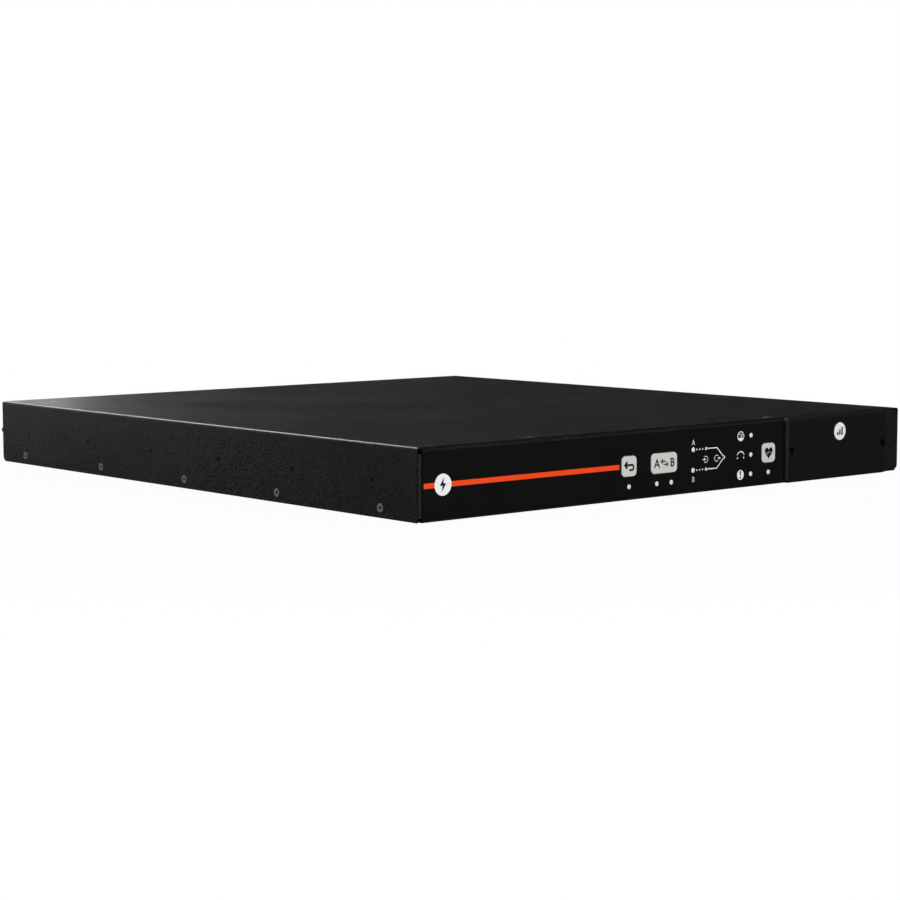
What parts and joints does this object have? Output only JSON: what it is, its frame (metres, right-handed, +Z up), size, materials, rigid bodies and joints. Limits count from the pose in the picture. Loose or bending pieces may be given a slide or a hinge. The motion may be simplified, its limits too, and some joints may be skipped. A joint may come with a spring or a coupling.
{
  "type": "rack power distribution unit",
  "caption": "Flat rack unit that feeds its rear sockets from either power inlet, with keys and lights on the front and a slide-in monitoring module.",
  "frame": {"origin": "centre of the flat underside", "axes": "+X to the right seen from the front, +Y from the front panel to the rear sockets, +Z up"},
  "size_m": [0.4374, 0.4828, 0.0437],
  "materials": {
    "powder_coat": "fine textured powder coat",
    "fascia_black": "satin",
    "accent_orange": "satin",
    "badge_white": "satin",
    "key_grey": "satin",
    "light_clear": "frosted",
    "module_plastic": "fine texture",
    "black_steel": "black oxide",
    "plated_steel": "zinc plated",
    "socket_plastic": "moulded",
    "inner_plastic": "moulded",
    "relay_plastic": "moulded",
    "circuit_board": "lacquered board",
    "copper": "bright",
    "brass": "bright",
    "nickel": "plated",
    "aluminium": "can",
    "lead_jacket": "insulation"
  },
  "bodies": {
    "chassis": {"accent_stripe": "accent_orange", "base_pan": "powder_coat", "bay_backplane": "circuit_board", "bay_bracket": "plated_steel", "bay_rails": "inner_plastic", "bay_socket": "inner_plastic", "board_posts": "inner_plastic", "breaker_a": "socket_plastic", "breaker_b": "socket_plastic", "breaker_links": "copper", "breaker_nuts": "nickel", "capacitors": "aluminium", "control_board": "circuit_board", "control_chip": "inner_plastic", "control_posts": "inner_plastic", "control_supplies": "inner_plastic", "current_sensors": "inner_plastic", "diodes": "light_clear", "earth_bar": "copper", "earth_nut": "brass", "earth_stud": "brass", "front_fascia": "fascia_black", "inlet_a": "socket_plastic", "inlet_b": "socket_plastic", "inlet_blades": "nickel", "input_filters": "relay_plastic", "input_leads_a": "copper", "input_leads_b": "copper", "key_switches": "inner_plastic", "large_socket": "socket_plastic", "light_pipes": "light_clear", "live_bar": "copper", "module_board": "circuit_board", "module_case": "module_plastic", "module_face": "module_plastic", "module_latches": "module_plastic", "module_plug": "inner_plastic", "neutral_bar": "copper", "output_leads": "copper", "power_board": "circuit_board", "ribbon": "lead_jacket", "ribbon_headers": "inner_plastic", "round_badge": "badge_white", "side_screws": "black_steel", "socket_contacts": "brass", "socket_strip_a": "socket_plastic", "socket_strip_b": "socket_plastic", "terminal_blocks": "inner_plastic", "top_cover": "powder_coat", "top_screws": "black_steel", "transfer_relays": "relay_plastic"},
    "return_key": {"return_key": "key_grey"},
    "transfer_key": {"transfer_key": "key_grey"},
    "health_key": {"health_key": "key_grey"},
    "breaker_button_a": {"breaker_button_a": "inner_plastic"},
    "breaker_button_b": {"breaker_button_b": "inner_plastic"}
  },
  "joints": [
    {"name": "return_key_press", "type": "slide", "parent": "chassis", "child": "return_key", "axis": [0, 1, 0], "range_m": [0, 0.0006], "stiffness_N_per_m": 1500, "springref_m": -0.0006},
    {"name": "transfer_key_press", "type": "slide", "parent": "chassis", "child": "transfer_key", "axis": [0, 1, 0], "range_m": [0, 0.0006], "stiffness_N_per_m": 1500, "springref_m": -0.0006},
    {"name": "health_key_press", "type": "slide", "parent": "chassis", "child": "health_key", "axis": [0, 1, 0], "range_m": [0, 0.0006], "stiffness_N_per_m": 1500, "springref_m": -0.0006},
    {"name": "breaker_button_a_pop", "type": "slide", "parent": "chassis", "child": "breaker_button_a", "axis": [0, 1, 0], "range_m": [0, 0.0035]},
    {"name": "breaker_button_b_pop", "type": "slide", "parent": "chassis", "child": "breaker_button_b", "axis": [0, 1, 0], "range_m": [0, 0.0035]}
  ]
}
